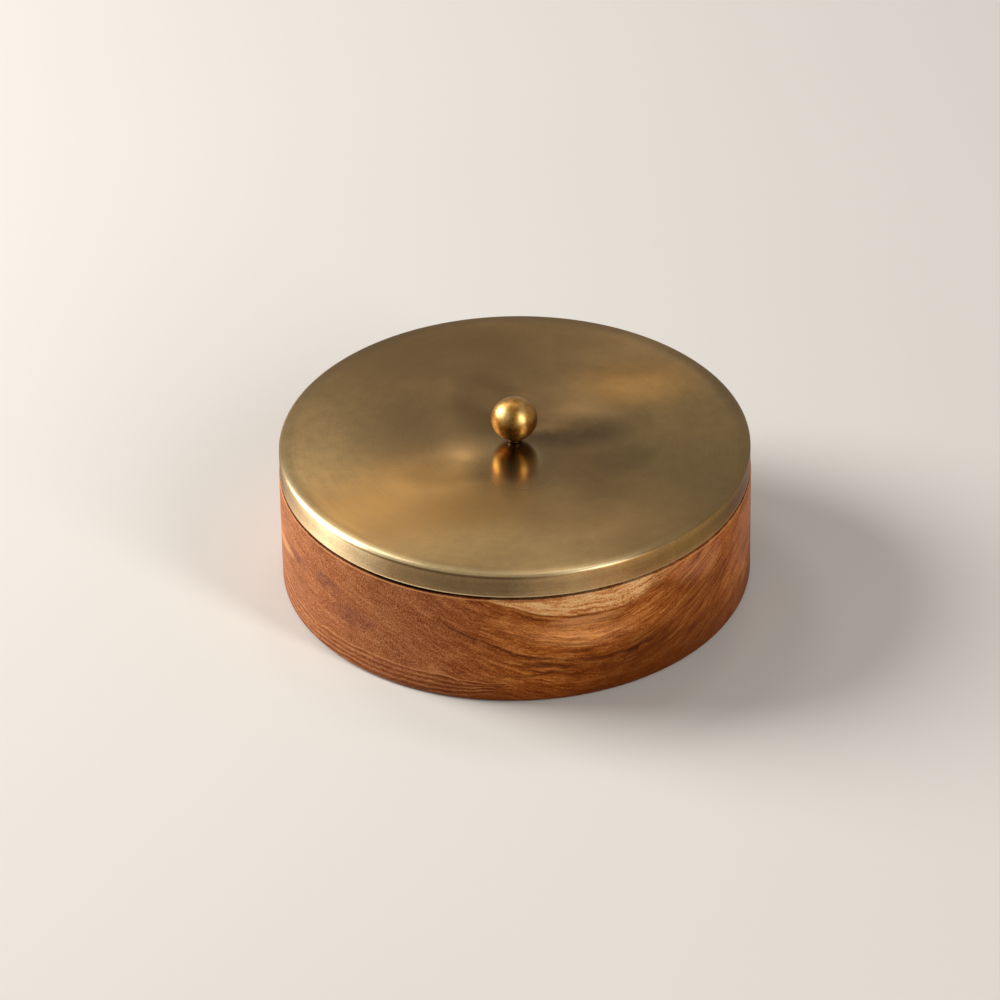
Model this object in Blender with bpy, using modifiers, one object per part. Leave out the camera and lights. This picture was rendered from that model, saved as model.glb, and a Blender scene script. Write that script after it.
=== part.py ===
"""A turned wooden box with a spun brass lid and a brass ball knob.

Metres, +Z up. The box stands on z = 0 and its turning axis is the Z axis.
Each piece is turned from a profile in the XZ plane, and each profile runs down its outer side.
"""
import math

import bpy

# Wooden body
BODY_DIAMETER = 0.2032
SHOULDER_HEIGHT = 0.0527
WALL_THICKNESS = 0.0100
FLOOR_THICKNESS = 0.0090
FOOT_ROUND = 0.0025
SHOULDER_ROUND = 0.0006
LIP_ROUND = 0.0010
COVE_RADIUS = 0.0070

# Lid, spun from sheet brass
LID_STEP_IN = 0.0003
LID_DEPTH = 0.0117
SHEET_THICKNESS = 0.0010
CORNER_RADIUS = 0.0012
CROWN_WIDTH = 0.0090
CROWN_DROP = 0.0006
SHADOW_GAP = 0.0012

# Ball knob, a little flatter than round, turned in one piece with its neck
BALL_DIAMETER = 0.0200
BALL_HEIGHT = 0.0188
NECK_DIAMETER = 0.0056
NECK_HEIGHT = 0.0016

# Screw and washer under the lid
SCREW_DIAMETER = 0.0030
SCREW_LENGTH = 0.0100
HEAD_DIAMETER = 0.0060
HEAD_HEIGHT = 0.0022
HEAD_ROUND = 0.0009
SLOT_WIDTH = 0.0010
SLOT_DEPTH = 0.0011
WASHER_DIAMETER = 0.0100
WASHER_THICKNESS = 0.0010

# Clearances
SEAT_GAP = 0.0003
SKIRT_CLEARANCE = 0.0005
SHANK_CLEARANCE = 0.0003
HOLE_RUN_OUT = 0.0010

# How finely the round shapes are divided
LARGE_TURN_STEPS = 96
SMALL_TURN_STEPS = 40
ARC_STEPS = 6
FINE_ARC_STEPS = 3
CROWN_STEPS = 5
BALL_ARC_STEPS = 18

# Sizes that follow from the ones above
BODY_RADIUS = BODY_DIAMETER / 2
INNER_RADIUS = BODY_RADIUS - WALL_THICKNESS
LID_RADIUS = BODY_RADIUS - LID_STEP_IN
LIP_RADIUS = LID_RADIUS - SHEET_THICKNESS - SKIRT_CLEARANCE
SKIRT_EDGE_Z = SHOULDER_HEIGHT + SHADOW_GAP
LID_TOP_Z = SKIRT_EDGE_Z + LID_DEPTH
LID_UNDERSIDE_Z = LID_TOP_Z - SHEET_THICKNESS
CROWN_SLOPE = math.atan2(2 * CROWN_DROP, CROWN_WIDTH)
CROWN_END = LID_RADIUS - CORNER_RADIUS * (1 - math.sin(CROWN_SLOPE))
CROWN_START = CROWN_END - CROWN_WIDTH
LIP_FLAT_END = LIP_RADIUS - LIP_ROUND
HOLE_RADIUS = SCREW_DIAMETER / 2 + SHANK_CLEARANCE
WASHER_TOP_Z = LID_UNDERSIDE_Z - SEAT_GAP
HEAD_TOP_Z = WASHER_TOP_Z - WASHER_THICKNESS - SEAT_GAP
SCREW_TIP_Z = HEAD_TOP_Z + SCREW_LENGTH
NECK_FOOT_Z = LID_TOP_Z + SEAT_GAP
BALL_RADIUS = BALL_DIAMETER / 2
BALL_CENTRE_Z = LID_TOP_Z + NECK_HEIGHT + BALL_HEIGHT / 2


def clear_scene():
    """Remove whatever the scene holds."""
    for thing in list(bpy.data.objects):
        bpy.data.objects.remove(thing, do_unlink=True)


def make_collection(name):
    """A new collection under the scene's own."""
    collection = bpy.data.collections.new(name)
    bpy.context.scene.collection.children.link(collection)
    return collection


def make_material(name, colour, roughness, metallic):
    """A Principled BSDF material of one colour."""
    material = bpy.data.materials.new(name)
    material.use_nodes = True
    shader = material.node_tree.nodes["Principled BSDF"]
    shader.inputs["Base Color"].default_value = (*colour, 1.0)
    shader.inputs["Roughness"].default_value = roughness
    shader.inputs["Metallic"].default_value = metallic
    return material


def arc(centre_x, centre_z, radius, start_deg, end_deg, steps):
    """Points on an arc, both ends included; 0 degrees points outwards and 90 upwards."""
    points = []
    for index in range(steps + 1):
        angle = math.radians(start_deg + (end_deg - start_deg) * index / steps)
        points.append((centre_x + radius * math.cos(angle), centre_z + radius * math.sin(angle)))
    return points


def crown_drop(radius):
    """How far the lid's top lies below its flat middle at this distance from the axis."""
    share = max(0.0, radius - CROWN_START) / CROWN_WIDTH
    return CROWN_DROP * share ** 2


def turn(name, profile, closed, steps, material, collection):
    """An object turned about the Z axis from a profile of (radius, height) points."""
    edges = [(index, index + 1) for index in range(len(profile) - 1)]
    if closed:
        edges.append((len(profile) - 1, 0))
    mesh = bpy.data.meshes.new(name)
    mesh.from_pydata([(radius, 0.0, height) for radius, height in profile], edges, [])
    piece = bpy.data.objects.new(name, mesh)
    collection.objects.link(piece)
    mesh.materials.append(material)
    screw = piece.modifiers.new("Turn", "SCREW")
    screw.axis = "Z"
    screw.steps = steps
    screw.render_steps = steps
    screw.use_smooth_shade = True
    screw.use_merge_vertices = True
    screw.merge_threshold = 0.00001
    return piece


def make_wooden_body(collection):
    """The box itself: floor, wall and the lip that the lid's skirt fits over, turned from one block."""
    material = make_material("Oiled wood", (0.33, 0.12, 0.045), 0.42, 0.0)
    lip_top = LID_UNDERSIDE_Z - crown_drop(LIP_FLAT_END) - SEAT_GAP
    profile = [(0.0, FLOOR_THICKNESS)]
    cove_x = INNER_RADIUS - COVE_RADIUS
    profile += arc(cove_x, FLOOR_THICKNESS + COVE_RADIUS, COVE_RADIUS, -90, 0, ARC_STEPS)
    profile += arc(INNER_RADIUS + LIP_ROUND, lip_top - LIP_ROUND, LIP_ROUND, 180, 90, FINE_ARC_STEPS)
    profile += arc(LIP_FLAT_END, lip_top - LIP_ROUND, LIP_ROUND, 90, 0, FINE_ARC_STEPS)
    profile.append((LIP_RADIUS, SHOULDER_HEIGHT))
    shoulder_x = BODY_RADIUS - SHOULDER_ROUND
    profile += arc(shoulder_x, SHOULDER_HEIGHT - SHOULDER_ROUND, SHOULDER_ROUND, 90, 0, FINE_ARC_STEPS)
    profile += arc(BODY_RADIUS - FOOT_ROUND, FOOT_ROUND, FOOT_ROUND, 0, -90, ARC_STEPS)
    profile.append((0.0, 0.0))
    return turn("wooden_body", profile, False, LARGE_TURN_STEPS, material, collection)


def make_lid_shell(collection):
    """The lid: a flat disc with a gentle crown near its rim, a rounded corner and a short skirt."""
    material = make_material("Aged brass sheet", (0.30, 0.20, 0.085), 0.36, 1.0)
    profile = [(HOLE_RADIUS, LID_TOP_Z)]
    for index in range(CROWN_STEPS):
        radius = CROWN_START + CROWN_WIDTH * index / CROWN_STEPS
        profile.append((radius, LID_TOP_Z - crown_drop(radius)))
    corner_x = LID_RADIUS - CORNER_RADIUS
    corner_z = LID_TOP_Z - CROWN_DROP - CORNER_RADIUS * math.cos(CROWN_SLOPE)
    profile += arc(corner_x, corner_z, CORNER_RADIUS, 90 - math.degrees(CROWN_SLOPE), 0, ARC_STEPS)
    profile.append((LID_RADIUS, SKIRT_EDGE_Z))
    lid = turn("lid_shell", profile, False, LARGE_TURN_STEPS, material, collection)
    sheet = lid.modifiers.new("Sheet", "SOLIDIFY")
    sheet.thickness = SHEET_THICKNESS
    sheet.offset = -1.0
    sheet.use_even_offset = True
    return lid


def make_ball_knob(collection):
    """Ball and neck in one piece, with a blind hole from below that takes the screw."""
    material = make_material("Warm brass", (0.42, 0.22, 0.065), 0.28, 1.0)
    neck_radius = NECK_DIAMETER / 2
    neck_angle = -math.degrees(math.acos(neck_radius / BALL_RADIUS))
    profile = []
    for x, z in arc(0.0, 0.0, BALL_RADIUS, 90, neck_angle, BALL_ARC_STEPS):
        profile.append((x, BALL_CENTRE_Z + z * BALL_HEIGHT / BALL_DIAMETER))
    profile[0] = (0.0, BALL_CENTRE_Z + BALL_HEIGHT / 2)
    profile.append((neck_radius, NECK_FOOT_Z))
    profile.append((HOLE_RADIUS, NECK_FOOT_Z))
    profile.append((HOLE_RADIUS, SCREW_TIP_Z + HOLE_RUN_OUT))
    profile.append((0.0, SCREW_TIP_Z + HOLE_RUN_OUT))
    return turn("ball_knob", profile, False, SMALL_TURN_STEPS, material, collection)


def make_knob_washer(collection):
    """A plain washer that spreads the screw's pull over the thin lid."""
    material = make_material("Bright brass washer", (0.50, 0.36, 0.14), 0.30, 1.0)
    radius = WASHER_DIAMETER / 2
    bottom = WASHER_TOP_Z - WASHER_THICKNESS
    profile = [(HOLE_RADIUS, WASHER_TOP_Z), (radius, WASHER_TOP_Z), (radius, bottom), (HOLE_RADIUS, bottom)]
    return turn("knob_washer", profile, True, SMALL_TURN_STEPS, material, collection)


def make_knob_screw(collection, cutters):
    """A slotted pan-head machine screw that holds the knob to the lid from below."""
    material = make_material("Brass screw", (0.50, 0.36, 0.14), 0.32, 1.0)
    shank_radius = SCREW_DIAMETER / 2
    head_radius = HEAD_DIAMETER / 2
    head_bottom = HEAD_TOP_Z - HEAD_HEIGHT
    profile = [(0.0, SCREW_TIP_Z), (shank_radius, SCREW_TIP_Z), (shank_radius, HEAD_TOP_Z)]
    profile.append((head_radius, HEAD_TOP_Z))
    profile += arc(head_radius - HEAD_ROUND, head_bottom + HEAD_ROUND, HEAD_ROUND, 0, -90, FINE_ARC_STEPS)
    profile.append((0.0, head_bottom))
    screw = turn("knob_screw", profile, False, SMALL_TURN_STEPS, material, collection)
    cut = screw.modifiers.new("Slot", "BOOLEAN")
    cut.operation = "DIFFERENCE"
    cut.object = make_slot_cutter(head_bottom, cutters)
    return screw


def make_slot_cutter(head_bottom, cutters):
    """A block across the screw's head, half of it above the head's face, that cuts the driver slot."""
    bpy.ops.mesh.primitive_cube_add(size=1.0, location=(0.0, 0.0, head_bottom))
    slot = bpy.context.active_object
    slot.name = "screw_slot_cutter"
    slot.scale = (2 * HEAD_DIAMETER, SLOT_WIDTH, 2 * SLOT_DEPTH)
    slot.hide_render = True
    slot.display_type = "WIRE"
    for holder in list(slot.users_collection):
        holder.objects.unlink(slot)
    cutters.objects.link(slot)
    return slot


def main():
    clear_scene()
    parts = make_collection("turned_wooden_box")
    cutters = make_collection("cutters")
    make_wooden_body(parts)
    lid_lift = bpy.data.objects.new("lid_lift", None)
    parts.objects.link(lid_lift)
    lid_pieces = [make_lid_shell(parts), make_ball_knob(parts)]
    lid_pieces += [make_knob_washer(parts), make_knob_screw(parts, cutters)]
    for piece in lid_pieces:
        piece.parent = lid_lift


main()
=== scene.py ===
"""The looks of a turned wooden box with a spun brass lid and a ball knob.

Metres, +Z up. The turning axis is the Z axis and the box stands on z = 0.
Finishes are worked out in millimetres and degrees, from each piece's own coordinates.
"""
import math

import bmesh
import bpy
from mathutils import Matrix, Vector


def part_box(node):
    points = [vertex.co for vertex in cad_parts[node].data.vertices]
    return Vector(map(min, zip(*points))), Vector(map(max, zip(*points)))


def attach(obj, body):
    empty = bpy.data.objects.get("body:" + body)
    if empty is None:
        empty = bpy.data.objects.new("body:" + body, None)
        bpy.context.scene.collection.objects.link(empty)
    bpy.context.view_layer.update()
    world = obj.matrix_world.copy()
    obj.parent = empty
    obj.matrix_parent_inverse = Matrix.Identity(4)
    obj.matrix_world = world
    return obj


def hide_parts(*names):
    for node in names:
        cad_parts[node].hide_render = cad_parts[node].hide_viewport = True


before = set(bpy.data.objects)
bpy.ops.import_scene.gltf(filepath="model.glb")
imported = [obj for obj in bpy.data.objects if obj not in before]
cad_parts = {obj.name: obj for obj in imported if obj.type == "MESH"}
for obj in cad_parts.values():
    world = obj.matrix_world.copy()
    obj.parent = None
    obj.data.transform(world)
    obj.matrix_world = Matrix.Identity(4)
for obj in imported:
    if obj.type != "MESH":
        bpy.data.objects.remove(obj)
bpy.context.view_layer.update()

# Sizes read from the frame
BODY_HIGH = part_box("wooden_body")[1]
LID_LOW, LID_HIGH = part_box("lid_shell")
KNOB_LOW, KNOB_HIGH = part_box("ball_knob")
WASHER_LOW, WASHER_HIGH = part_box("knob_washer")
SCREW_LOW, SCREW_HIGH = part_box("knob_screw")
BODY_RADIUS = BODY_HIGH.x
LID_RADIUS = LID_HIGH.x
BALL_RADIUS = KNOB_HIGH.x

# Sizes of the box that the frame doesn't give
SHADOW_GAP = 0.0012
WALL_THICKNESS = 0.0100
FLOOR_THICKNESS = 0.0090
FOOT_ROUND = 0.0025
SHOULDER_ROUND = 0.0006
LIP_ROUND = 0.0010
COVE_RADIUS = 0.0070
SKIRT_CLEARANCE = 0.0005

# Sizes of the lid
SHEET_THICKNESS = 0.0010
CORNER_RADIUS = 0.0012
CROWN_WIDTH = 0.0090
CROWN_DROP = 0.0006
EASE_RADIUS = 0.0024
EASE_SLOPE = 48.0
RIM_RADIUS = 0.0007
EDGE_ROUND = 0.0004

# Sizes of the knob, the washer and the screw
BALL_HEIGHT = 0.0188
BALL_CENTRE_Z = KNOB_HIGH.z - BALL_HEIGHT / 2
NECK_RADIUS = 0.0028
NECK_FILLET = 0.0002
HOLE_RADIUS = 0.0018
HOLE_RUN_OUT = 0.0010
SEAT_GAP = 0.0003
SHANK_RADIUS = 0.0015
HEAD_ROUND = 0.0009
SLOT_WIDTH = 0.0010
SLOT_DEPTH = 0.0011
THREAD_PITCH = 0.0005
THREAD_DEPTH = 0.0003
SMALL_ROUND = 0.0002

# How finely the pieces are divided, round the axis and then along a profile
LARGE_STEPS = 360
SMALL_STEPS = 96
FLAT_STEPS = 12
DISC_STEPS = 24
BALL_STEPS = 56
COVE_STEPS = 16
RIM_STEPS = 14
CORNER_STEPS = 12
HEAD_STEPS = 10
ROUND_STEPS = 8
EDGE_STEPS = 6
SMALL_ROUND_STEPS = 5

# A profile's point nearer than this is on the axis, and an edge is sharp above this angle
ON_AXIS = 1e-7
SHARP_DEGREES = 40.0

# Millimetres in a metre, because the finishes are worked out in millimetres
MILLIMETRES = 1000.0

# Growth layers of the wood: where they dip lowest, how far and how high they rise from there
FIGURE_AZIMUTH = math.radians(289.0)
LAYER_REACH = 95.0
LAYER_LIFT = 46.0

# The sapwood's edge among the layers, the length of a degree on the wall and how far the flecks lean
SAP_EDGE = 12.4
WALL_DEGREE = 1.77
FLECK_LEAN = 0.35

# The photograph's camera
CAMERA_LENS = 216.0
CAMERA_SENSOR = 36.0
CAMERA_ELEVATION = 34.16
CAMERA_ROLL = -1.0
CAMERA_PLACE = Vector((-0.0067, -2.1464, 1.4911))

# Lamps: name, azimuth, elevation, width, height and power
LAMPS = [
    ("key", 163.0, 30.0, 1.2, 1.2, 54.0),
    ("side", 315.0, 32.0, 0.35, 1.5, 18.0),
    ("back", 122.0, 55.0, 0.5, 0.5, 3.6),
    ("top", 76.0, 64.0, 0.4, 0.4, 1.8),
]
LAMP_DISTANCE = 2.0
LAMP_COLOUR = (1.0, 0.96, 0.90)
WORLD_COLOUR = (1.0, 0.98, 0.95, 1.0)
WORLD_PALE = 0.45
WORLD_FILL = 0.15
FLOOR_RADIUS = 12.0


# Shader maths


class Field:
    """A value that varies over a surface: a node's output, with arithmetic that adds Math nodes."""

    def __init__(self, tree, socket):
        self.tree = tree
        self.socket = socket

    def maths(self, operation, *values):
        node = self.tree.nodes.new("ShaderNodeMath")
        node.operation = operation
        for slot, value in zip(node.inputs, values):
            feed(self.tree, slot, value)
        return Field(self.tree, node.outputs[0])

    def __add__(self, other):
        return self.maths("ADD", self, other)

    __radd__ = __add__

    def __sub__(self, other):
        return self.maths("SUBTRACT", self, other)

    def __rsub__(self, other):
        return self.maths("SUBTRACT", other, self)

    def __mul__(self, other):
        return self.maths("MULTIPLY", self, other)

    __rmul__ = __mul__

    def __truediv__(self, other):
        return self.maths("DIVIDE", self, other)

    def __rtruediv__(self, other):
        return self.maths("DIVIDE", other, self)

    def __abs__(self):
        return self.maths("ABSOLUTE", self)

    def sine(self):
        return self.maths("SINE", self)

    def root(self):
        return self.maths("SQRT", self)

    def least(self, other):
        return self.maths("MINIMUM", self, other)

    def most(self, other):
        return self.maths("MAXIMUM", self, other)


def feed(tree, slot, value):
    """Give a socket a link, where the value is a field, or else a constant."""
    if isinstance(value, Field):
        tree.links.new(value.socket, slot)
    else:
        slot.default_value = value


class Nodes:
    """A node tree, and the one way to add any node that isn't a Math node."""

    def __init__(self, tree):
        self.tree = tree

    def node(self, kind, settings, inputs, output=0):
        """A node of any type: settings first, then the values or links of its sockets."""
        made = self.tree.nodes.new(kind)
        for key, value in settings.items():
            if key == "stops":
                set_stops(made.color_ramp, value)
            else:
                setattr(made, key, value)
        for key, value in inputs.items():
            feed(self.tree, made.inputs[key], value)
        return Field(self.tree, made.outputs[output])

    def seen_directly(self):
        """1 for what the camera sees, itself or in a shiny surface, and 0 for the light shed elsewhere."""
        seen = 0.0
        for ray in ("Is Camera Ray", "Is Glossy Ray", "Is Transmission Ray"):
            seen = self.node("ShaderNodeLightPath", {}, {}, ray) + seen
        return seen.least(1.0)


class Finish(Nodes):
    """A material: a Principled shader with its constants, and the nodes that vary it."""

    def __init__(self, name, constants):
        self.material = bpy.data.materials.new(name)
        self.material.use_nodes = True
        super().__init__(self.material.node_tree)
        self.shader = self.tree.nodes["Principled BSDF"]
        for socket, value in constants.items():
            self.shader.inputs[socket].default_value = value

    def place(self):
        """The three coordinates of a point of the piece, in millimetres."""
        coordinates = self.node("ShaderNodeTexCoord", {}, {}, "Object")
        parts = []
        for axis in range(3):
            parts.append(self.node("ShaderNodeSeparateXYZ", {}, {0: coordinates}, axis) * MILLIMETRES)
        return parts

    def around(self, x, y):
        """Distance from the turning axis, and degrees round it from the front towards the right."""
        distance = (x * x + y * y).root()
        return distance, x.maths("ARCTAN2", x, y * -1.0) * (180.0 / math.pi)

    def noise(self, x, y, z, detail=2.0, roughness=0.5):
        """Smooth noise around 0.5, with features one unit of its coordinates apart."""
        vector = self.node("ShaderNodeCombineXYZ", {}, {0: x, 1: y, 2: z})
        inputs = {"Vector": vector, "Scale": 1.0, "Detail": detail, "Roughness": roughness}
        return self.node("ShaderNodeTexNoise", {}, inputs)

    def ripple(self, x, y, z, detail=2.0, roughness=0.5):
        """The same noise around 0."""
        return self.noise(x, y, z, detail, roughness) - 0.5

    def step(self, value, low, high):
        """0 where value is low and 1 where it is high, with a smooth change between."""
        settings = {"interpolation_type": "SMOOTHSTEP"}
        inputs = {"Value": value, "From Min": low, "From Max": high, "To Min": 0.0, "To Max": 1.0}
        if low > high:
            inputs.update({"From Min": high, "From Max": low, "To Min": 1.0, "To Max": 0.0})
        return self.node("ShaderNodeMapRange", settings, inputs)

    def near(self, value, centre, width):
        """1 where value is at centre, falling to 0 at the given distance from it."""
        return self.step(abs(value - centre), width, 0.0)

    def patch(self, u, v, place, reach):
        """1 at a place in two coordinates, falling to 0 at the edge of an oval round it."""
        across = (u - place[0]) / reach[0]
        along = (v - place[1]) / reach[1]
        return self.step(across * across + along * along, 1.0, 0.0)

    def patches(self, u, v, rows):
        """Patches added up, from rows of place, reach and amount."""
        total = 0.0
        for place, reach, amount in rows:
            total = self.patch(u, v, place, reach) * amount + total
        return total

    def ramp(self, value, stops):
        """A colour from a value, through (place, colour) stops."""
        return self.node("ShaderNodeValToRGB", {"stops": stops}, {0: value})

    def mix(self, factor, first, second):
        """Two colours mixed by a factor."""
        return self.node("ShaderNodeMix", {"data_type": "RGBA"}, {0: factor, 6: first, 7: second}, 2)

    def times(self, colour, factor):
        """A colour made lighter or darker."""
        return self.node("ShaderNodeVectorMath", {"operation": "SCALE"}, {0: colour, 3: factor})

    def bump(self, height, depth, strength):
        """The surface's normal from a height field of the given depth in metres."""
        return self.node("ShaderNodeBump", {}, {"Height": height, "Distance": depth, "Strength": strength})

    def finish(self, outputs):
        """Link the shader's sockets and give the material."""
        for socket, value in outputs.items():
            feed(self.tree, self.shader.inputs[socket], value)
        return self.material


def set_stops(ramp, stops):
    """Fill a colour ramp with (place, colour) stops."""
    while len(ramp.elements) > 1:
        ramp.elements.remove(ramp.elements[-1])
    for index, (place, colour) in enumerate(stops):
        element = ramp.elements[0] if index == 0 else ramp.elements.new(place)
        element.position = place
        element.color = colour


def shade(red, green, blue):
    """A colour from its screen values, 0 to 255, as the light values that a shader takes."""
    light = []
    for value in (red, green, blue):
        share = value / 255.0
        light.append(share / 12.92 if share <= 0.04045 else ((share + 0.055) / 1.055) ** 2.4)
    return (*light, 1.0)


# Profiles and turning


def arc(centre_x, centre_z, radius, start_deg, end_deg, steps):
    """Points on an arc of a profile; 0 degrees points outwards and 90 upwards."""
    points = []
    for index in range(steps + 1):
        angle = math.radians(start_deg + (end_deg - start_deg) * index / steps)
        points.append((centre_x + radius * math.cos(angle), centre_z + radius * math.sin(angle)))
    return points


def rule(start, end, steps):
    """Evenly spaced points from start to end of a straight stretch, without the end."""
    points = []
    for index in range(steps):
        share = index / steps
        points.append((start[0] + (end[0] - start[0]) * share, start[1] + (end[1] - start[1]) * share))
    return points


def ring_of(shape, radius, height, steps):
    """A ring of corners about the Z axis, or the one corner where a profile meets the axis."""
    if radius < ON_AXIS:
        return [shape.verts.new((0.0, 0.0, height))]
    ring = []
    for index in range(steps):
        angle = math.tau * index / steps
        ring.append(shape.verts.new((radius * math.cos(angle), radius * math.sin(angle), height)))
    return ring


def turned_piece(name, profile, closed, steps, material):
    """A piece turned about the Z axis from a profile that runs down its outer side."""
    shape = bmesh.new()
    rings = [ring_of(shape, radius, height, steps) for radius, height in profile]
    pairs = list(zip(rings, rings[1:]))
    if closed:
        pairs.append((rings[-1], rings[0]))
    for upper, lower in pairs:
        for index in range(steps):
            after = (index + 1) % steps
            if len(upper) == 1:
                shape.faces.new((upper[0], lower[index], lower[after]))
            elif len(lower) == 1:
                shape.faces.new((upper[index], lower[0], upper[after]))
            else:
                shape.faces.new((upper[index], lower[index], lower[after], upper[after]))
    mesh = bpy.data.meshes.new(name)
    shape.to_mesh(mesh)
    shape.free()
    mesh.shade_smooth()
    mesh.set_sharp_from_angle(angle=math.radians(SHARP_DEGREES))
    piece = bpy.data.objects.new(name, mesh)
    bpy.context.scene.collection.objects.link(piece)
    mesh.materials.append(material)
    return piece


# Pieces


def make_box_wood():
    """The box: floor, wall, lip and shoulder, turned from one block."""
    shoulder_z = LID_LOW.z - SHADOW_GAP
    inner = BODY_RADIUS - WALL_THICKNESS
    lip = LID_RADIUS - SHEET_THICKNESS - SKIRT_CLEARANCE
    lip_z = BODY_HIGH.z - LIP_ROUND
    cove_x = inner - COVE_RADIUS
    shoulder_x = BODY_RADIUS - SHOULDER_ROUND
    wall_top = shoulder_z - 2 * SHOULDER_ROUND
    profile = rule((0.0, FLOOR_THICKNESS), (cove_x, FLOOR_THICKNESS), FLAT_STEPS)
    profile += arc(cove_x, FLOOR_THICKNESS + COVE_RADIUS, COVE_RADIUS, -90, 0, COVE_STEPS)
    profile += arc(inner + LIP_ROUND, lip_z, LIP_ROUND, 180, 90, ROUND_STEPS)
    profile += arc(lip - LIP_ROUND, lip_z, LIP_ROUND, 90, 0, ROUND_STEPS)
    profile.append((lip, shoulder_z))
    profile += arc(shoulder_x, shoulder_z - SHOULDER_ROUND, SHOULDER_ROUND, 90, 0, ROUND_STEPS)
    profile += rule((BODY_RADIUS, wall_top), (BODY_RADIUS, 2 * FOOT_ROUND), FLAT_STEPS)
    profile += arc(BODY_RADIUS - FOOT_ROUND, FOOT_ROUND, FOOT_ROUND, 0, -90, CORNER_STEPS)
    profile += rule((BODY_RADIUS - 2 * FOOT_ROUND, 0.0), (0.0, 0.0), FLAT_STEPS)
    profile.append((0.0, 0.0))
    piece = turned_piece("box_wood", profile, False, LARGE_STEPS, wood_finish())
    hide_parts("wooden_body")
    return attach(piece, "box")


def crown_drop(radius, crown_start):
    """How far the lid's top lies below its flat middle at this distance from the axis."""
    share = max(0.0, radius - crown_start) / CROWN_WIDTH
    return CROWN_DROP * share ** 2


def make_lid_brass():
    """The lid: a thin disc with a soft crown, a rounded corner and a short skirt."""
    slope = math.atan2(2 * CROWN_DROP, CROWN_WIDTH)
    crown_deg = 90 - math.degrees(slope)
    ease_deg = 90 - EASE_SLOPE
    ease_offset = EASE_RADIUS - RIM_RADIUS
    underside_z = LID_HIGH.z - SHEET_THICKNESS

    # The corner of the sheet, and where the crown begins
    corner_x = LID_RADIUS - CORNER_RADIUS
    corner_z = LID_HIGH.z - CROWN_DROP - CORNER_RADIUS * math.cos(slope)
    crown_start = corner_x + CORNER_RADIUS * math.sin(slope) - CROWN_WIDTH

    # The rim: a wide easing that runs into a tight round
    rim_x = LID_RADIUS - RIM_RADIUS
    ease_x = rim_x - ease_offset * math.sin(math.radians(EASE_SLOPE))
    ease_start = ease_x + EASE_RADIUS * math.sin(slope)
    ease_z = LID_HIGH.z - crown_drop(ease_start, crown_start) - EASE_RADIUS * math.cos(slope)
    rim_z = ease_z + ease_offset * math.cos(math.radians(EASE_SLOPE))

    # The skirt's lower edge
    edge_x = LID_RADIUS - EDGE_ROUND
    inner_edge_x = LID_RADIUS - SHEET_THICKNESS + EDGE_ROUND
    edge_z = LID_LOW.z + EDGE_ROUND

    profile = rule((HOLE_RADIUS, LID_HIGH.z), (crown_start, LID_HIGH.z), DISC_STEPS)
    for radius, _ in rule((crown_start, 0.0), (ease_start, 0.0), FLAT_STEPS):
        profile.append((radius, LID_HIGH.z - crown_drop(radius, crown_start)))
    profile += arc(ease_x, ease_z, EASE_RADIUS, crown_deg, ease_deg, EDGE_STEPS)[:-1]
    profile += arc(rim_x, rim_z, RIM_RADIUS, ease_deg, 0, RIM_STEPS)
    profile += rule((LID_RADIUS, rim_z - EDGE_ROUND), (LID_RADIUS, edge_z + EDGE_ROUND), ROUND_STEPS)
    profile += arc(edge_x, edge_z, EDGE_ROUND, 0, -90, EDGE_STEPS)
    profile += arc(inner_edge_x, edge_z, EDGE_ROUND, -90, -180, EDGE_STEPS)
    profile += arc(corner_x, corner_z, CORNER_RADIUS - SHEET_THICKNESS, 0, crown_deg, CORNER_STEPS)
    for radius, _ in rule((crown_start + CROWN_WIDTH - EDGE_ROUND, 0.0), (crown_start, 0.0), FLAT_STEPS):
        profile.append((radius, underside_z - crown_drop(radius, crown_start)))
    profile += rule((crown_start, underside_z), (HOLE_RADIUS, underside_z), DISC_STEPS)
    profile.append((HOLE_RADIUS, underside_z))
    piece = turned_piece("lid_brass", profile, True, LARGE_STEPS, lid_finish())
    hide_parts("lid_shell")
    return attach(piece, "lid")


def make_knob_brass():
    """Ball and neck in one piece, with the neck's foot flared where it meets the lid."""
    neck_angle = -math.degrees(math.acos((NECK_RADIUS + NECK_FILLET) / BALL_RADIUS))
    flattening = BALL_HEIGHT / (2 * BALL_RADIUS)
    foot_z = KNOB_LOW.z
    hole_top = SCREW_HIGH.z + HOLE_RUN_OUT
    profile = [(0.0, KNOB_HIGH.z)]
    for radius, height in arc(0.0, 0.0, BALL_RADIUS, 90, neck_angle, BALL_STEPS)[1:]:
        profile.append((radius, BALL_CENTRE_Z + height * flattening))
    profile.append((NECK_RADIUS, foot_z + 2 * NECK_FILLET))
    profile += arc(NECK_RADIUS + NECK_FILLET, foot_z + NECK_FILLET, NECK_FILLET, 180, 270, EDGE_STEPS)
    profile += [(HOLE_RADIUS, foot_z), (HOLE_RADIUS, hole_top), (0.0, hole_top)]
    piece = turned_piece("knob_brass", profile, False, SMALL_STEPS, knob_finish())
    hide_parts("ball_knob")
    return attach(piece, "lid")


def make_washer_brass(material):
    """The washer under the lid, its outer edges rounded."""
    edge_x = WASHER_HIGH.x - SMALL_ROUND
    profile = [(HOLE_RADIUS, WASHER_HIGH.z)]
    profile += arc(edge_x, WASHER_HIGH.z - SMALL_ROUND, SMALL_ROUND, 90, 0, SMALL_ROUND_STEPS)
    profile += arc(edge_x, WASHER_LOW.z + SMALL_ROUND, SMALL_ROUND, 0, -90, SMALL_ROUND_STEPS)
    profile.append((HOLE_RADIUS, WASHER_LOW.z))
    piece = turned_piece("washer_brass", profile, True, SMALL_STEPS, material)
    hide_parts("knob_washer")
    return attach(piece, "lid")


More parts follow.
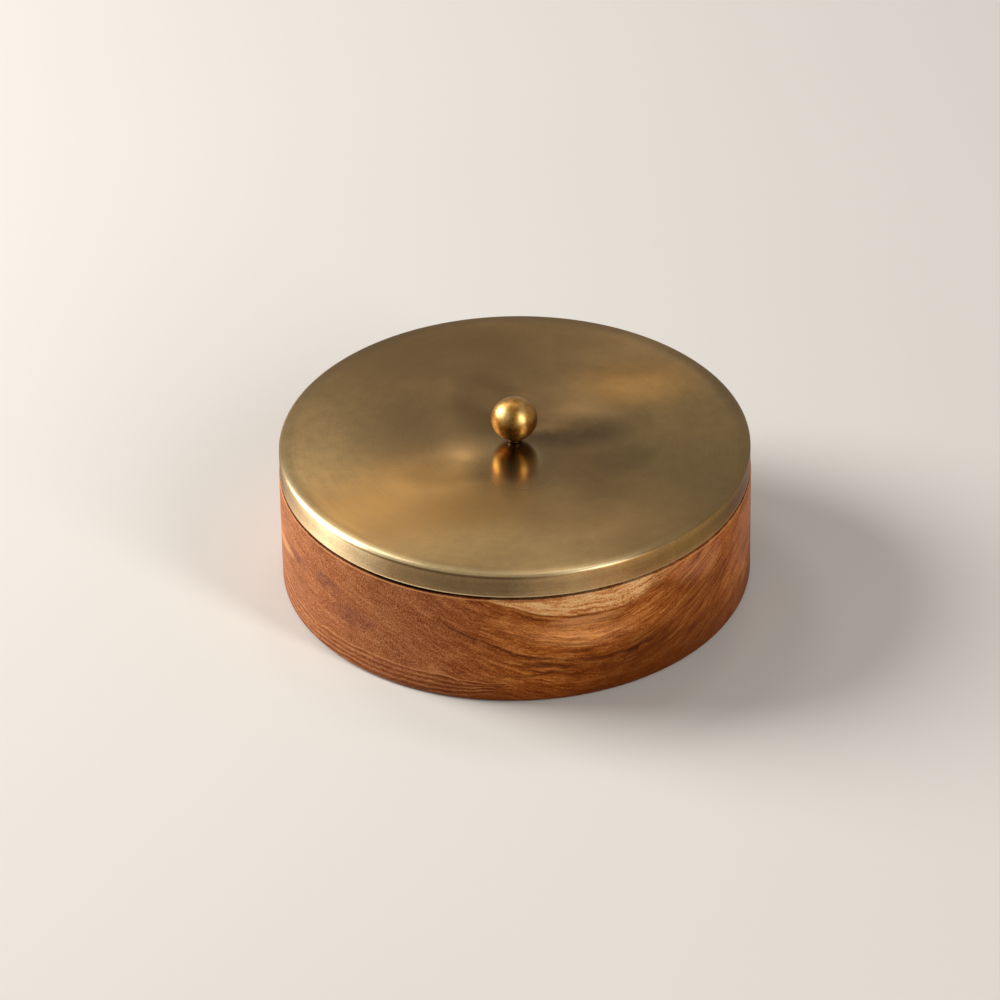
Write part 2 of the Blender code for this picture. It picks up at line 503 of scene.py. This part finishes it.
def make_screw_brass(material):
    """The screw from below: a threaded shank and a round head with a slot for the driver."""
    head_radius = SCREW_HIGH.x
    head_top = WASHER_LOW.z - SEAT_GAP
    thread_end = head_top + 2 * THREAD_PITCH
    root_radius = SHANK_RADIUS - THREAD_DEPTH
    profile = [(0.0, SCREW_HIGH.z), (root_radius, SCREW_HIGH.z)]
    for index in range(int((SCREW_HIGH.z - thread_end) / THREAD_PITCH)):
        top = SCREW_HIGH.z - index * THREAD_PITCH
        profile += [(SHANK_RADIUS, top - THREAD_PITCH / 2), (root_radius, top - THREAD_PITCH)]
    profile += [(SHANK_RADIUS, thread_end - THREAD_PITCH), (SHANK_RADIUS, head_top)]
    profile += arc(head_radius - SMALL_ROUND, head_top - SMALL_ROUND, SMALL_ROUND, 90, 0, SMALL_ROUND_STEPS)
    profile += arc(head_radius - HEAD_ROUND, SCREW_LOW.z + HEAD_ROUND, HEAD_ROUND, 0, -90, HEAD_STEPS)
    profile.append((0.0, SCREW_LOW.z))
    piece = turned_piece("screw_brass", profile, False, SMALL_STEPS, material)
    cut_slot(piece, head_radius)
    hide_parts("knob_screw")
    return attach(piece, "lid")


def cut_slot(piece, head_radius):
    """Cut the driver slot across the underside of the screw's head."""
    block = bmesh.new()
    size = (4 * head_radius, SLOT_WIDTH, 2 * SLOT_DEPTH)
    matrix = Matrix.Translation((0.0, 0.0, SCREW_LOW.z)) @ Matrix.Diagonal((*size, 1.0))
    bmesh.ops.create_cube(block, size=1.0, matrix=matrix)
    mesh = bpy.data.meshes.new("slot")
    block.to_mesh(mesh)
    block.free()
    cutter = bpy.data.objects.new("slot", mesh)
    bpy.context.scene.collection.objects.link(cutter)
    cut = piece.modifiers.new("Slot", "BOOLEAN")
    cut.operation = "DIFFERENCE"
    cut.object = cutter
    bpy.context.view_layer.update()
    worked = piece.evaluated_get(bpy.context.evaluated_depsgraph_get())
    finished = bpy.data.meshes.new_from_object(worked)
    piece.modifiers.remove(cut)
    piece.data = finished
    bpy.data.objects.remove(cutter)


# Wood


# Dark lines along the growth layers: layer and half width, azimuth and reach in degrees, and how dark
DARK_LINES = [
    (SAP_EDGE, 0.6, 14.0, 34.0, 0.6),
    (14.2, 2.0, 0.0, 14.0, 0.25),
    (16.4, 0.8, 14.0, 26.0, 0.4),
    (26.6, 1.0, 14.0, 24.0, 0.5),
    (33.2, 1.2, 62.0, 34.0, 0.4),
]

# Patches of the wall: middle and reach in degrees and millimetres below the seam, and how much
BANDED_UMBER = [
    ((34.0, 31.0), (12.0, 6.0), 1.0),
    ((42.0, 13.0), (7.0, 4.0), 0.8),
]
PLAIN_UMBER = [
    ((88.0, 48.0), (18.0, 20.0), 1.0),
    ((-72.0, 32.0), (22.0, 16.0), 0.3),
]
SMALL_KNOTS = [
    ((31.0, 33.8), (7.0, 1.3), 0.35),
    ((36.5, 9.0), (5.0, 3.0), 0.35),
]
PURPLE_SMUDGES = [
    ((-67.5, 20.5), (6.0, 3.4), 1.0),
    ((-53.0, 17.5), (5.5, 4.5), 1.0),
    ((-44.0, 27.0), (9.0, 7.0), 0.7),
]
# Painted sheen on the right of the wall, where it catches reflected light at a slant
PAINTED_SHEEN_PLACES = [
    ((50.0, 8.0), (12.0, 10.0), 1.0),
    ((76.0, 20.0), (15.0, 22.0), 1.0),
]


class FiguredWood(Finish):
    """Reddish-brown wood, with the places and the noises that its figure is drawn from."""

    def __init__(self):
        super().__init__("Figured wood", {"Metallic": 0.0, "Specular IOR Level": 0.08})
        x, y, z = self.place()
        radius = BODY_RADIUS * MILLIMETRES
        distance, turn = self.around(x, y)
        depth = LID_LOW.z * MILLIMETRES - z
        self.turn = turn
        self.depth = depth
        self.inward = radius - distance
        self.skin = self.step(self.inward, 6.0, 3.0)
        self.behind = self.step(abs(turn), 176.0, 128.0)
        self.calm = self.step(turn, 4.0, -30.0) * self.behind
        slow = self.ripple(x / 30.0, y / 30.0, z / 18.0)
        quick = self.ripple(x / 7.0, y / 7.0, z / 4.0, 3.0)
        self.slow = slow
        self.quick = quick

        # Growth layers, numbered in millimetres below the seam where they dip lowest
        toward = x * math.cos(FIGURE_AZIMUTH) + y * math.sin(FIGURE_AZIMUTH)
        across = y * math.cos(FIGURE_AZIMUTH) - x * math.sin(FIGURE_AZIMUTH)
        chord = (radius - toward) * (2.0 * radius / LAYER_REACH ** 2)
        lift = chord * LAYER_LIFT / (1.0 + chord * chord).root()
        level = self.step(depth, 36.0, 47.0) * self.step(turn, -14.0, -34.0) * self.behind
        self.line = depth + lift * (1.0 - level) + slow * 5.0 + quick * 0.7
        self.layer = self.line + quick * 1.6

        # Texture along the layers, across them and everywhere
        layer = self.layer
        self.bands = self.ripple(layer / 3.8, across / 22.0, toward / 22.0, 4.0, 0.6)
        self.blotch = self.ripple(x / 13.0, y / 13.0, z / 7.0, 3.0, 0.6)
        self.fibre = self.ripple(layer / 0.8, across / 7.0, toward / 7.0, 3.0, 0.65)
        self.specks = self.ripple(x / 0.55, y / 0.55, z / 0.4, 2.0, 0.75)
        self.rings = self.ripple(layer / 1.5, across / 16.0, toward / 16.0, 4.0, 0.65)
        run = turn * WALL_DEGREE
        over, along = depth - run * FLECK_LEAN, run + depth * FLECK_LEAN
        self.fleck = self.ripple(over / 0.32, along / 3.4, 5.0, 2.0, 0.6) * self.behind

        # Smudges and knots wander with the slow and quick noise
        self.wander = turn + quick * 9.0
        self.sunk = depth + slow * 6.0 + quick * 5.0

    def lightness(self):
        """How light the heartwood is: bands, blotches, fibres and specks, calmer at the left."""
        calm = self.calm
        tone = 0.5 + self.bands * (0.8 - calm * 0.45) + self.blotch * (0.4 - calm * 0.1)
        tone = tone + self.fibre * (1.1 - calm * 0.6) + self.specks * (1.3 + calm * 0.5)
        tone = tone + self.fleck * (0.25 + calm * 0.3) + self.rings * (0.9 - calm * 0.7)
        glow = self.near(self.layer, 22.0, 11.0) * self.near(self.turn, 14.0, 24.0) * self.skin
        return tone + glow * 0.2

    def heartwood(self, tone):
        """Brown in front and at the right, redder at the left, and darker near the foot with painted shade.
        """
        heart = self.ramp(tone, [(0.16, shade(104, 45, 8)), (0.42, shade(156, 81, 28)),
                                 (0.58, shade(182, 103, 42)), (0.84, shade(218, 144, 76))])
        left = self.ramp(tone, [(0.18, shade(110, 53, 29)), (0.5, shade(180, 107, 63)),
                                (0.82, shade(224, 158, 110))])
        colour = self.mix(self.calm, heart, left)
        # Painted shade: the wall darkens towards the foot, in front and at the right
        foot = self.step(self.depth + self.bands * 10.0, 40.0, 53.0)
        foot = foot * self.step(self.turn, -50.0, 0.0) * self.behind
        return self.mix(foot * 0.66, colour, shade(106, 42, 2))

    def golden_wood(self, colour):
        """The golden patch below the sapwood, with the darker wood round it."""
        turn, depth, skin = self.turn, self.depth, self.skin
        golden = self.near(self.layer, 22.5, 8.0) * self.near(turn, 14.0, 22.0) * skin
        colour = self.mix(golden * (0.42 + self.rings * 1.2 + self.specks), colour, shade(240, 174, 116))
        colour = self.times(colour, 1.0 + golden * (0.25 + self.fibre))
        under = self.near(self.line, 13.7, 1.1) * self.near(turn, 15.0, 15.0)
        colour = self.mix(under * 0.6, colour, shade(228, 156, 100))
        deep = self.near(turn, 50.0, 20.0) * self.step(depth, 10.0, 20.0) * 0.4
        low = self.step(turn, 4.0, 30.0) * self.step(turn, 80.0, 46.0)
        low = low * self.step(depth + self.bands * 8.0, 27.0, 39.0)
        colour = self.mix(deep.most(low * 0.66) * skin, colour, shade(92, 40, 2))
        honey = self.patch(turn, depth, (16.0, 15.0), (12.0, 4.0)) * skin
        colour = self.mix(honey * (0.5 + self.rings + self.specks), colour, shade(236, 168, 108))
        umber = self.patches(turn, depth + self.bands * 6.0, BANDED_UMBER)
        umber = umber + self.patches(turn, depth, PLAIN_UMBER)
        return self.mix(umber * 0.45 * skin, colour, shade(88, 36, 2))

    def sapwood(self, colour, tone):
        """The pale sapwood under the lid in front, with its flecked edge."""
        turn = self.turn
        edge = self.line + self.fibre * 3.0 + self.specks * 2.0
        edge = edge + self.step(turn, 8.0, 24.0) * (self.fibre + self.rings) * 5.0
        lighter = self.patch(turn, self.depth, (20.0, 3.0), (18.0, 6.0)) * 0.08
        tone = tone + self.specks * 0.8 + self.fleck * 0.5 + self.rings * 0.9 + lighter
        pale = self.ramp(tone, [(0.18, shade(176, 98, 48)), (0.46, shade(246, 176, 108)),
                                (0.76, shade(255, 212, 154))])
        share = self.step(edge, SAP_EDGE, SAP_EDGE - 1.0) * self.step(turn + self.slow * 20.0, 46.0, 30.0)
        return self.mix(share, colour, pale)

    def dark_lines(self):
        """How dark the wood is along its layer lines, and in the knotty places between them."""
        turn, line, wander, sunk = self.turn, self.line, self.wander, self.sunk
        dark = 0.0
        for layer, width, azimuth, reach, amount in DARK_LINES:
            dark = self.near(line, layer, width) * self.near(turn, azimuth, reach) * amount + dark

        # The strongest line drifts across the layers at the right, above a broad shade and a long line
        front = self.step(turn, -21.0, -13.0) * self.step(turn, 44.0, 26.0)
        drift = line - self.step(turn, 18.0, 38.0) * 2.6
        dark = dark + self.near(drift, 34.6, 1.3) * front * 0.75
        wide = self.step(turn, -16.0, 2.0) * self.step(turn, 70.0, 20.0)
        dark = dark + self.near(line, 36.8, 3.6) * wide * 0.3
        dark = dark + self.near(line, 42.0, 1.2) * self.step(turn, -6.0, 6.0) * self.behind * 0.4

        # The fibres break the lines up
        broken = self.step(self.fibre + self.quick, 0.14, -0.1)
        dark = dark * (0.6 + broken * 0.4)

        # Knotty places: two slanting streaks, a hooked one and small spots
        tilted = sunk - (turn - 4.0) * 0.22
        dark = dark + self.patch(wander, tilted, (6.0, 35.6), (12.0, 1.7)) * 0.6
        dark = dark + self.patch(wander, sunk + turn * 0.12, (3.0, 41.0), (12.0, 1.2)) * 0.55
        hooked = wander + (sunk - 36.5) * 0.75
        dark = dark + self.patch(hooked, sunk, (27.5, 36.5), (1.4, 5.5)) * 0.45
        dark = dark + self.patches(wander, sunk, SMALL_KNOTS)
        return dark.least(1.0) * self.skin

    def smudges(self, colour):
        """Purple-grey smudges and a pale wedge at the left, and a painted sheen at the right."""
        turn, wander, sunk = self.turn, self.wander, self.sunk
        smudge = self.patches(wander, sunk, PURPLE_SMUDGES)
        uneven = self.step(self.fleck + self.specks * 0.6, 0.12, -0.1)
        colour = self.mix(smudge * (0.25 + uneven * 0.5) * self.skin, colour, shade(100, 56, 62))
        wedge = self.patch(wander, self.depth + turn * 0.18, (-79.0, 10.5), (11.0, 3.4))
        colour = self.mix(wedge * 0.75 * self.skin, colour, shade(232, 170, 120))
        # Painted sheen: a pale reflection painted on the right of the wall
        painted_sheen = self.patches(wander, sunk, PAINTED_SHEEN_PLACES)
        painted_sheen = painted_sheen * (0.35 + self.rings + self.specks) * self.skin
        return self.mix(painted_sheen, colour, shade(206, 140, 104))

    def foot_lines(self, colour):
        """Wavy lines near the foot, which draw together to the right: painted shade in their furrows,
        painted highlights on their crests, and their relief.
        """
        turn = self.turn
        gather = 0.45 + self.step(turn, -2.0, -22.0) * 0.9
        wave = (self.depth - 46.6 + self.slow * 5.0 + self.quick * 2.2) / gather
        furrow = (wave * math.pi).sine()
        rows = self.step(wave, -4.4, -3.4) * self.step(wave, 6.0, 4.0)
        rows = rows * self.step(turn, 0.0, -8.0) * self.step(turn, -88.0, -76.0) * self.skin
        rows = rows * (0.75 + self.slow * 1.4 + self.quick * 1.2)
        # Painted shade in the furrows
        colour = self.mix(self.step(furrow, 0.2, -1.0) * rows * 0.7, colour, shade(100, 44, 14))
        # Painted highlights along the crests
        crest_highlight = self.step(furrow + self.fleck, 0.6, 1.0) * 0.5
        crest_highlight = crest_highlight + self.near(wave, -3.5, 0.4) * (0.8 + self.fleck)
        return self.mix(crest_highlight * rows, colour, shade(230, 158, 98)), furrow * rows

    def shoulder(self, colour):
        """A painted highlight along the top edge, painted shade on the shoulder's round and on the ledge
        under the skirt, and a painted shadow in the gap.
        """
        turn, depth, inward = self.turn, self.depth, self.inward
        # Painted highlight along the rounded top edge, strongest at the front left
        arris = self.near(depth, 1.7, 0.5) * self.skin
        arris = arris * (0.5 + self.near(turn, -28.0, 24.0) * 0.35)
        colour = self.mix(arris, colour, shade(236, 166, 108))
        # Painted shade on the shoulder's round in front, under the lid
        band = self.near(depth, 1.6, 1.2) * self.near(turn, 1.0, 13.0) * self.skin
        colour = self.mix(band * 0.75, colour, shade(150, 78, 42))
        # Painted shade on the ledge under the skirt
        ledge = self.step(depth, 1.5, 1.25) * self.step(depth, -2.1, -1.1)
        ledge = ledge * self.step(inward, 2.6, 2.2) * self.step(inward, 0.2, 0.6)
        ledge = ledge * (1.0 - self.near(turn, 50.0, 40.0) * 0.7)
        colour = self.mix(ledge * 0.75, colour, shade(44, 20, 9))
        # Painted shadow, nearly black, in the gap at the front left
        seam = self.near(depth, 1.1, 0.6) * self.near(turn, -28.0, 22.0) * self.step(inward, 2.6, 2.2)
        return self.mix(seam, colour, shade(16, 8, 4))


def wood_finish():
    """The wood from its heart to the marks on its skin."""
    wood = FiguredWood()
    tone = wood.lightness()
    colour = wood.heartwood(tone)
    colour = wood.golden_wood(colour)
    colour = wood.sapwood(colour, tone)
    dark = wood.dark_lines()
    colour = wood.mix(dark, colour, shade(78, 32, 6))
    colour = wood.smudges(colour)
    colour, relief = wood.foot_lines(colour)
    colour = wood.shoulder(colour)
    height = wood.fibre * 0.8 + wood.specks * 0.9 + wood.fleck * 0.8 + relief * 0.9 - dark * 0.5
    rough = 0.46 + wood.specks * 0.2
    normal = wood.bump(height, 0.00018, 0.8)
    return wood.finish({"Base Color": colour, "Roughness": rough, "Normal": normal})


# Brass


# Patches of the lid's top: middle and reach in millimetres from the axis, and how much
# Painted highlights: warm fans of light on the brushed top, at the front left and the back right
FAN_HIGHLIGHT_PLACES = [
    ((-46.0, -44.0), (62.0, 48.0), 1.0),
    ((54.0, 42.0), (34.0, 26.0), 1.0),
]
# Painted light: the top made lighter at the left and in front
PAINTED_LIGHT_PLACES = [
    ((-86.0, 6.0), (40.0, 56.0), 1.0),
    ((-6.0, -88.0), (70.0, 32.0), 1.0),
]
DULL_PLACES = [
    ((-40.0, 2.0), (40.0, 28.0), 0.4),
    ((-34.0, 70.0), (50.0, 30.0), 1.0),
    ((6.0, 4.0), (34.0, 30.0), 0.6),
]

# Clouds that lighten and darken the lid's top, in the same way: above 0 it is lighter there, and below 0
# darker
LID_CLOUDS = [
    ((70.0, 44.0), (46.0, 40.0), -0.32),
    ((28.0, 18.0), (40.0, 26.0), -0.28),
    ((56.0, 40.0), (20.0, 18.0), 0.14),
    ((4.0, 52.0), (44.0, 18.0), -0.16),
    ((44.0, 66.0), (34.0, 20.0), -0.1),
    ((-13.0, 30.0), (19.0, 28.0), -0.34),
    ((-26.0, 12.0), (18.0, 14.0), 0.14),
    ((-62.0, 54.0), (30.0, 26.0), 0.1),
    ((-28.0, 72.0), (44.0, 30.0), -0.12),
    ((-31.0, -25.0), (23.0, 15.0), -0.32),
    ((-16.0, -6.0), (20.0, 14.0), 0.3),
    ((46.0, -14.0), (20.0, 16.0), -0.18),
    ((22.0, -44.0), (26.0, 46.0), -0.22),
    ((-92.0, 2.0), (26.0, 42.0), 0.22),
    ((-24.0, -70.0), (32.0, 24.0), 0.16),
    ((58.0, -50.0), (22.0, 22.0), 0.1),
    ((34.0, -60.0), (22.0, 20.0), 0.1),
    ((42.0, -86.0), (28.0, 18.0), -0.2),
    ((4.0, 84.0), (60.0, 24.0), -0.12),
]

# Painted highlights on the ball's front, two high where the lamps shine and two low for the lid's
# reflection of the ball: middle and reach in millimetres to the right and up, and how much
PAINTED_HIGHLIGHT_PLACES = [
    ((-5.4, 6.6), (5.0, 3.6), 1.0),
    ((3.2, 5.0), (2.6, 5.0), 1.0),
    ((-8.2, -1.0), (2.4, 4.0), 1.0),
    ((4.0, -1.0), (2.4, 4.0), 1.0),
]


class AgedBrass(Finish):
    """Sheet brass brushed in circles on the lathe, with the places and noises of its patina."""

    def __init__(self):
        constants = {"Metallic": 1.0, "Anisotropic": 0.72, "Anisotropic Rotation": 0.25}
        super().__init__("Aged brass sheet", constants)
        x, y, z = self.place()
        distance, turn = self.around(x, y)
        self.x = x
        self.y = y
        self.distance = distance
        self.turn = turn
        self.inward = LID_RADIUS * MILLIMETRES - distance
        self.down = LID_HIGH.z * MILLIMETRES - z
        self.skirt = self.step(self.inward, 1.7, 0.7) * self.step(self.down, 1.0, 1.4)
        self.hem = self.step(z - LID_LOW.z * MILLIMETRES, 1.0, 0.5)
        self.cloud = self.ripple(x / 36.0, y / 36.0, z / 36.0, 3.0, 0.55)
        self.mottle = self.ripple(x / 6.0, y / 6.0, z / 6.0, 4.0, 0.6)
        self.grain = self.ripple(distance / 0.3, x / 22.0, y / 22.0 + z / 0.3, 3.0, 0.65)
        self.dust = self.ripple(x / 0.8, y / 0.8, z / 0.8, 2.0, 0.7)
        first = self.noise((x * 0.8 + y * 0.6) / 9.0, (y * 0.8 - x * 0.6) / 0.35, 3.0, 2.0, 0.6)
        second = self.noise((x * 0.5 - y * 0.87) / 7.0, (y * 0.5 + x * 0.87) / 0.3, 9.0, 2.0, 0.6)
        self.scratch = self.step(first, 0.62, 0.7) + self.step(second, 0.64, 0.72)

    def top(self):
        """Painted light towards the front left, at the left and in front, painted warm highlights in two
        fans, olive at the right, and a painted shadow to the right of the knob.
        """
        x, y, mottle = self.x, self.y, self.mottle
        # Painted light: the top grows lighter towards the front left
        forward = x * -0.57 - y * 0.82
        lit = self.step(forward + self.cloud * 70.0, -40.0, 95.0)
        colour = self.mix(lit, shade(146, 117, 77), shade(166, 134, 88))
        # Painted highlights in the two fans
        warm = self.patches(x, y, FAN_HIGHLIGHT_PLACES)
        colour = self.mix(warm * (0.7 + mottle), colour, shade(152, 114, 62))
        # Painted light at the left and in front
        light = self.patches(x, y, PAINTED_LIGHT_PLACES)
        colour = self.mix(light * (0.5 + mottle * 0.4), colour, shade(186, 156, 106))
        olive = self.patch(x, y, (84.0, -12.0), (60.0, 66.0))
        colour = self.mix(olive * 0.5, colour, shade(138, 116, 72))
        dull = self.patches(x, y, DULL_PLACES)
        colour = self.mix(dull * (0.5 + mottle), colour, shade(122, 98, 64))
        # Painted shadow of the knob, to its right
        dark = self.patch(x, y, (23.0, 7.0), (34.0, 17.0))
        colour = self.mix(dark * (0.7 + mottle), colour, shade(96, 74, 46))
        drift = self.cloud * 16.0
        return self.times(colour, 1.0 + self.patches(x + drift, y - drift, LID_CLOUDS))

    def side(self, colour):
        """The skirt: painted light at the left, painted shade in front and at the right, and lighter near
        its top and its bottom.
        """
        turn, down = self.turn, self.down
        # Painted light and shade round the skirt: light where the lamps fall at the left, darker in front
        # and at the right
        round_it = (turn + self.cloud * 20.0 + 80.0) / 160.0
        side = self.ramp(round_it, [
            (0.0, shade(118, 94, 62)), (0.09, shade(190, 162, 122)), (0.19, shade(240, 216, 172)),
            (0.30, shade(152, 124, 87)), (0.38, shade(131, 107, 75)), (0.48, shade(124, 102, 72)),
            (0.58, shade(174, 142, 99)), (0.68, shade(148, 112, 70)), (0.80, shade(162, 128, 72)),
            (0.92, shade(122, 86, 46))])
        side = self.mix(self.step(abs(turn), 96.0, 150.0), side, shade(130, 100, 64))
        colour = self.mix(self.skirt, colour, side)
        lighter = self.step(down, 5.6, 2.0) * 0.25 + self.step(down, 7.6, 10.6) * 0.15
        return self.times(colour, 1.0 + self.skirt * lighter)

    def rim(self, colour):
        """A painted dark reflection under the rim, a painted glow and painted highlights along the crown,
        and a hem that is worn and carries a painted highlight.
        """
        turn, inward, upper = self.turn, self.inward, 1.0 - self.skirt
        # Painted reflection: a dark line under the rim's highlight, in front
        dark_reflection = self.near(self.down, 2.0, 0.9) * self.step(inward, 1.1, 0.6)
        dark_reflection = dark_reflection * self.step(turn, 18.0, -4.0) * self.step(turn, -54.0, -34.0)
        colour = self.mix(dark_reflection * 0.7, colour, shade(74, 56, 34))
        # Painted glow along the crown, strongest in front
        crown = self.step(inward, 4.8, 1.8) * upper * (1.0 - dark_reflection) * self.near(turn, -30.0, 90.0)
        colour = self.mix(crown * 0.7, colour, shade(218, 192, 142))
        # Painted highlights along the rim, at the front left and the front right
        rim_highlight = self.step(inward, 2.7, 1.3) * upper * self.near(turn, -52.0, 38.0)
        rim_highlight = rim_highlight + self.step(inward, 1.7, 0.9) * upper * self.near(turn, 17.0, 17.0) * 0.7
        colour = self.mix(rim_highlight, colour, shade(255, 238, 196))
        # The hem: wear, with a painted highlight that is strongest at the front left
        worn = self.hem * (0.4 + self.near(turn, -36.0, 34.0) * 0.5)
        return self.mix(worn, colour, shade(244, 218, 168))


def lid_finish():
    """The lid's brass, mottled and scratched, and polished where the knob mirrors itself."""
    brass = AgedBrass()
    x, y, skirt, hem = brass.x, brass.y, brass.skirt, brass.hem
    mottle, grain, dust = brass.mottle, brass.grain, brass.dust
    colour = brass.rim(brass.side(brass.top()))
    texture = mottle * 0.25 + (grain + dust) * (0.3 + skirt * 0.4) + brass.scratch * 0.1
    colour = brass.times(colour, 1.0 + texture)
    # A paler tint painted in front of the knob, so that the ball's reflection there looks golden
    mirrored = brass.patch(x, y, (0.5, -14.0), (13.0, 15.0))
    colour = brass.mix(mirrored * 0.75, colour, shade(172, 162, 118))

    # The crown is rubbed smoother than the flat, and so is the brass in front of the knob
    polished = brass.patch(x, y, (1.0, -18.0), (27.0, 34.0))
    rubbed = brass.step(brass.inward, 8.3, 2.3) * (1.0 - skirt)
    rough = 0.47 + brass.cloud * 0.08 + mottle * 0.06 + grain * 0.1 + dust * 0.08 - hem * 0.1
    rough = rough - rubbed * 0.15 + brass.step(brass.distance, 46.0, 16.0) * 0.06
    rough = rough.most(0.285) * (1.0 - polished) + polished * 0.17
    height = (grain + mottle * 0.2 + dust * 0.4 - brass.scratch * 0.3) * (1.0 - polished * 0.9)
    normal = brass.bump(height, 0.00003, 0.25)
    return brass.finish({"Base Color": colour, "Roughness": rough, "Normal": normal})


def knob_finish():
    """Warm brass rubbed by fingers, with painted highlights at its front and painted shade on its lower
    half, down its middle and on its neck.
    """
    brass = Finish("Warm brass", {"Metallic": 1.0})
    x, y, z = brass.place()
    turn = brass.around(x, y)[1]
    above = z - BALL_CENTRE_Z * MILLIMETRES
    cloud = brass.ripple(x / 4.0, y / 4.0, z / 4.0, 3.0, 0.6)
    specks = brass.ripple(x / 0.5, y / 0.5, z / 0.5, 2.0, 0.6)
    worn = brass.step(cloud + specks * 0.5, -0.35, 0.35)
    colour = brass.mix(worn, shade(142, 98, 44), shade(194, 144, 74))
    # Painted shade on the ball's lower half
    low = brass.step(above + cloud * 6.0, 1.0, -7.0)
    colour = brass.mix(low * 0.4, colour, shade(150, 106, 50))
    # Painted shade down the middle of the front, between the highlights
    shadow = brass.near(turn + (cloud + specks) * 24.0, -9.0, 22.0) * brass.step(above, 8.0, 0.0)
    colour = brass.mix(shadow * 0.8, colour, shade(50, 32, 10))
    # Painted highlights on the front
    ball_highlight = brass.patches(x, above, PAINTED_HIGHLIGHT_PLACES) * brass.step(y, 2.0, -2.0)
    colour = brass.mix(ball_highlight * (0.45 + specks), colour, shade(240, 208, 136))
    # Painted shade on the neck under the ball
    neck = brass.step(z - KNOB_LOW.z * MILLIMETRES, 2.0, 1.4)
    colour = brass.mix(neck, colour, shade(70, 48, 24))
    rough = 0.38 + cloud * 0.1 + specks * 0.14
    normal = brass.bump(cloud + specks, 0.00004, 0.6)
    return brass.finish({"Base Color": colour, "Roughness": rough, "Normal": normal})


def fastener_finish():
    """Plain turned brass of the screw and washer."""
    brass = Finish("Turned brass", {"Metallic": 1.0})
    x, y, z = brass.place()
    distance = brass.around(x, y)[0]
    grain = brass.noise(distance / 0.2, z / 0.2, x / 6.0)
    colour = brass.ramp(grain, [(0.3, shade(180, 148, 92)), (0.7, shade(202, 172, 112))])
    normal = brass.bump(grain, 0.00003, 0.3)
    return brass.finish({"Base Color": colour, "Roughness": 0.25 + grain * 0.15, "Normal": normal})


# Stage, light and camera


def floor_finish():
    """Plain pale floor, which sheds less light on the box than it shows."""
    plain = Finish("Pale floor", {"Roughness": 0.9, "Specular IOR Level": 0.2})
    x, y, z = plain.place()
    cloud = plain.noise(x / 600.0, y / 600.0, z)
    pale = plain.ramp(cloud, [(0.3, (0.69, 0.675, 0.65, 1.0)), (0.7, (0.72, 0.705, 0.68, 1.0))])
    dim = (0.42, 0.35, 0.26, 1.0)
    return plain.finish({"Base Color": plain.mix(plain.seen_directly(), dim, pale)})


def make_stage():
    """The floor that the box stands on."""
    bpy.ops.mesh.primitive_circle_add(vertices=SMALL_STEPS, radius=FLOOR_RADIUS, fill_type="NGON")
    floor = bpy.context.active_object
    floor.name = "floor"
    floor.data.materials.append(floor_finish())


def direction(azimuth_deg, elevation_deg):
    """Unit vector towards an azimuth, counted from +X towards +Y, and an elevation."""
    azimuth, elevation = math.radians(azimuth_deg), math.radians(elevation_deg)
    flat = math.cos(elevation)
    return Vector((flat * math.cos(azimuth), flat * math.sin(azimuth), math.sin(elevation)))


def make_lamp(name, azimuth, elevation, width, height, power):
    """A soft lamp that faces the box."""
    lamp = bpy.data.lights.new(name, "AREA")
    lamp.shape = "ELLIPSE"
    lamp.size = width
    lamp.size_y = height
    lamp.energy = power
    lamp.color = LAMP_COLOUR
    holder = bpy.data.objects.new(name, lamp)
    bpy.context.scene.collection.objects.link(holder)
    holder.location = direction(azimuth, elevation) * LAMP_DISTANCE
    holder.rotation_euler = holder.location.to_track_quat("Z", "Y").to_euler()


def make_world():
    """Pale where it is seen and in reflections, dimmer as fill light."""
    world = bpy.data.worlds.new("Studio")
    world.use_nodes = True
    nodes = Nodes(world.node_tree)
    background = nodes.tree.nodes["Background"]
    background.inputs["Color"].default_value = WORLD_COLOUR
    strength = WORLD_FILL + nodes.seen_directly() * (WORLD_PALE - WORLD_FILL)
    feed(nodes.tree, background.inputs["Strength"], strength)
    bpy.context.scene.world = world


def make_camera():
    """The photograph's camera: a long lens, looking down from the front."""
    data = bpy.data.cameras.new("Camera")
    data.lens = CAMERA_LENS
    data.sensor_width = CAMERA_SENSOR
    camera = bpy.data.objects.new("Camera", data)
    bpy.context.scene.collection.objects.link(camera)
    tilt = Matrix.Rotation(math.radians(90.0 - CAMERA_ELEVATION), 4, "X")
    roll = Matrix.Rotation(math.radians(CAMERA_ROLL), 4, "Z")
    camera.matrix_world = Matrix.Translation(CAMERA_PLACE) @ tilt @ roll
    bpy.context.scene.camera = camera


make_box_wood()
make_lid_brass()
make_knob_brass()
fasteners = fastener_finish()
make_washer_brass(fasteners)
make_screw_brass(fasteners)
make_stage()
for lamp_row in LAMPS:
    make_lamp(*lamp_row)
make_world()
make_camera()
bpy.context.scene.view_settings.view_transform = "Standard"
